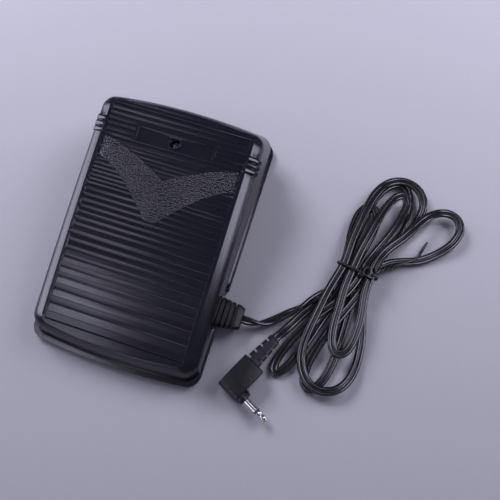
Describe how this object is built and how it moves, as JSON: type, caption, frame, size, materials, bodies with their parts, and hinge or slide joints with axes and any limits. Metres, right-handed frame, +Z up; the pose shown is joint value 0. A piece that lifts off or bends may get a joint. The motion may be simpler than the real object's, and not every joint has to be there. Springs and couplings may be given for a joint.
{
  "type": "sewing machine foot pedal",
  "caption": "Wedge-shaped foot pedal with a ribbed treadle hinged at the heel of a flat base, spring return, slide potentiometer, and a flat twin cord hanked and tied, ending in a right-angle jack plug.",
  "frame": {"origin": "middle of the pedal's footprint, on the plane of the rubber feet", "axes": "+X across the pedal to the side the cord leaves, +Y from heel to toe, +Z up"},
  "size_m": [0.2191, 0.1548, 0.0355],
  "materials": {
    "black_plastic": "fine-textured injection moulding",
    "black_rubber": "moulded rubber",
    "black_pvc": "soft glossy PVC",
    "zinc_steel": "zinc plated",
    "spring_steel": "drawn wire",
    "nickel": "bright nickel plating",
    "board_green": "solder mask",
    "ceramic": "fired ceramic",
    "sleeve_blue": "shrink sleeve",
    "terminal_green": "moulded",
    "white_nylon": "natural nylon",
    "pressed_metal": "tin plated can"
  },
  "bodies": {
    "base": {"base_tray": "black_plastic", "rubber_feet": "black_rubber", "hinge_pins": "zinc_steel", "return_springs": "spring_steel", "circuit_board": "board_green", "board_screws": "zinc_steel", "ballast_resistor": "ceramic", "capacitors": "sleeve_blue", "terminal_block": "terminal_green", "slide_potentiometer": "pressed_metal", "cord_clamp": "white_nylon", "clamp_screws": "zinc_steel", "internal_leads": "black_pvc", "cord_boot": "black_rubber", "cord_lead": "black_pvc", "cord_hank": "black_pvc", "hank_tie": "black_pvc", "plug_lead": "black_pvc", "plug_relief": "black_rubber", "plug_body": "black_rubber", "plug_collar": "black_rubber", "plug_sleeve": "nickel", "plug_insulator": "black_plastic", "plug_tip": "nickel"},
    "treadle": {"treadle_cover": "black_plastic", "stop_hook": "zinc_steel", "centre_screw": "zinc_steel", "drive_fork": "white_nylon", "fork_screws": "zinc_steel"},
    "slider": {"potentiometer_slider": "white_nylon"}
  },
  "joints": [
    {"name": "pedal_press", "type": "hinge", "parent": "base", "child": "treadle", "pos_m": [0, -0.058, 0.007], "axis": [-1, 0, 0], "range_deg": [0, 5], "stiffness_Nm_per_rad": 6, "springref_deg": -3.44, "deforming": ["return_springs"]},
    {"name": "wiper_slide", "type": "slide", "parent": "base", "child": "slider", "axis": [0, 0, -1], "range_m": [0, 0.0045]}
  ],
  "couplings": [
    {"joint": "wiper_slide", "follows": "pedal_press", "m_per_rad": 0.047862}
  ]
}
